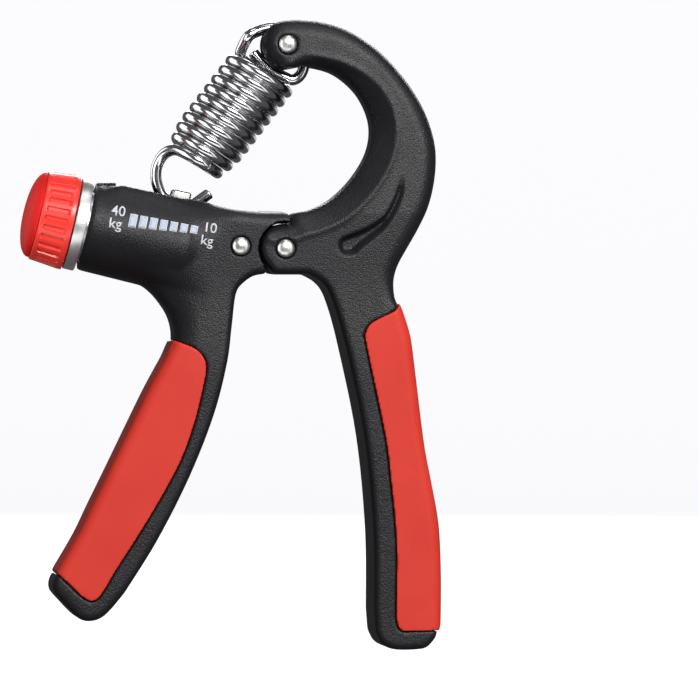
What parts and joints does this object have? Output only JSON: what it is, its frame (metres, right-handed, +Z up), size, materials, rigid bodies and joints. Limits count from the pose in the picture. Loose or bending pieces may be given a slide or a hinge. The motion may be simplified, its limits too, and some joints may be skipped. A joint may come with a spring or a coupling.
{
  "type": "hand grip strengthener",
  "caption": "Adjustable spring hand grip strengthener: two handles on a riveted hinge, a tension spring from an arch to a slider, and a knob that sets the resistance.",
  "frame": {"origin": "on the palm side of the palm handle's grip, at the middle of its depth, 50 mm below and 33 mm outside the hinge axis", "axes": "+Z up along the palm handle to the top of the arch, +X out of the palm handle towards the palm, +Y to the back, so the scale faces -Y"},
  "size_m": [0.0969, 0.0222, 0.1463],
  "materials": {
    "palm_handle_frame": "black moulded nylon, fine spark-eroded grain",
    "palm_grip": "red soft overmould, smooth matte",
    "finger_handle_frame": "black moulded nylon, fine spark-eroded grain, resistance scale printed on the front",
    "finger_grip": "red soft overmould, smooth matte",
    "hinge_link": "zinc plated sheet steel",
    "hinge_rivet": "plated steel, domed head",
    "hinge_rivet_washer": "plated steel",
    "link_rivet": "plated steel, domed head",
    "link_rivet_washer": "plated steel",
    "spring_rivet": "plated steel, domed head",
    "spring_rivet_washer": "plated steel",
    "end_plate": "turned and satin plated",
    "adjuster_knob": "red, semi-gloss, fluted rim",
    "knob_cap": "deeper red, glossy dome",
    "knob_screw": "pan head machine screw",
    "thrust_washer": "plain",
    "lead_screw": "bright zinc",
    "retaining_clip": "blued spring steel",
    "screw_bush": "plain",
    "slider_nut": "die cast zinc",
    "hook_bridge": "bright zinc",
    "spring_wire": "bright nickel plated spring steel wire"
  },
  "bodies": {
    "palm_handle": {"palm_handle_frame": "palm_handle_frame", "palm_grip": "palm_grip", "hinge_rivet": "hinge_rivet", "hinge_rivet_washer": "hinge_rivet_washer", "spring_rivet": "spring_rivet", "spring_rivet_washer": "spring_rivet_washer"},
    "finger_handle": {"finger_handle_frame": "finger_handle_frame", "finger_grip": "finger_grip", "hinge_link": "hinge_link", "link_rivet": "link_rivet", "link_rivet_washer": "link_rivet_washer", "end_plate": "end_plate", "screw_bush": "screw_bush"},
    "adjuster": {"adjuster_knob": "adjuster_knob", "knob_cap": "knob_cap", "knob_screw": "knob_screw", "thrust_washer": "thrust_washer", "lead_screw": "lead_screw", "retaining_clip": "retaining_clip"},
    "slider": {"slider_nut": "slider_nut", "hook_bridge": "hook_bridge"},
    "spring_tail": {"spring_tail": "spring_wire"},
    "spring_hook": {"spring_hook": "spring_wire"},
    "spring_coil": {"spring_coil_lower": "spring_wire"},
    "spring_eye": {"spring_coil_upper": "spring_wire", "spring_eye": "spring_wire"}
  },
  "joints": [
    {"name": "squeeze", "type": "hinge", "parent": "palm_handle", "child": "finger_handle", "pos_m": [-0.033, 0, 0.05], "axis": [0, -1, 0], "range_deg": [0, 30], "stiffness_Nm_per_rad": 8, "springref_deg": -11.46},
    {"name": "slider_travel", "type": "slide", "parent": "finger_handle", "child": "slider", "axis": [-0.9744, 0, 0.225], "range_m": [-0.004, 0.008]},
    {"name": "knob_spin", "type": "hinge", "parent": "finger_handle", "child": "adjuster", "pos_m": [-0.0805, 0, 0.0556], "axis": [0.9744, 0, -0.225], "range_deg": [-730, 1450]},
    {"name": "hook_swing", "type": "hinge", "parent": "slider", "child": "spring_tail", "pos_m": [-0.0593, 0, 0.0617], "axis": [0, -1, 0], "range_deg": [-22.5, 0.5], "deforming": ["spring_tail"]},
    {"name": "hook_trim", "type": "hinge", "parent": "spring_tail", "child": "spring_hook", "pos_m": [-0.0593, 0, 0.0617], "axis": [0, -1, 0], "range_deg": [-7.5, 4], "deforming": ["spring_hook"]},
    {"name": "coil_trim", "type": "slide", "parent": "spring_hook", "child": "spring_coil", "axis": [0.6052, 0, 0.7961], "range_m": [-0.0025, 0.0048], "deforming": ["spring_coil_lower"]},
    {"name": "spring_stretch", "type": "slide", "parent": "spring_coil", "child": "spring_eye", "axis": [0.6052, 0, 0.7961], "range_m": [-0.0001, 0.0148], "deforming": ["spring_coil_upper", "spring_eye"]}
  ],
  "couplings": [
    {"joint": "knob_spin", "follows": "slider_travel", "rad_per_m": 3141.6},
    {"joint": "hook_swing", "follows": "squeeze", "ratio": -0.7333},
    {"joint": "hook_trim", "follows": "slider_travel", "rad_per_m": -15.708},
    {"joint": "coil_trim", "follows": "slider_travel", "ratio": 0.57994},
    {"joint": "spring_stretch", "follows": "squeeze", "m_per_rad": 0.0279}
  ]
}
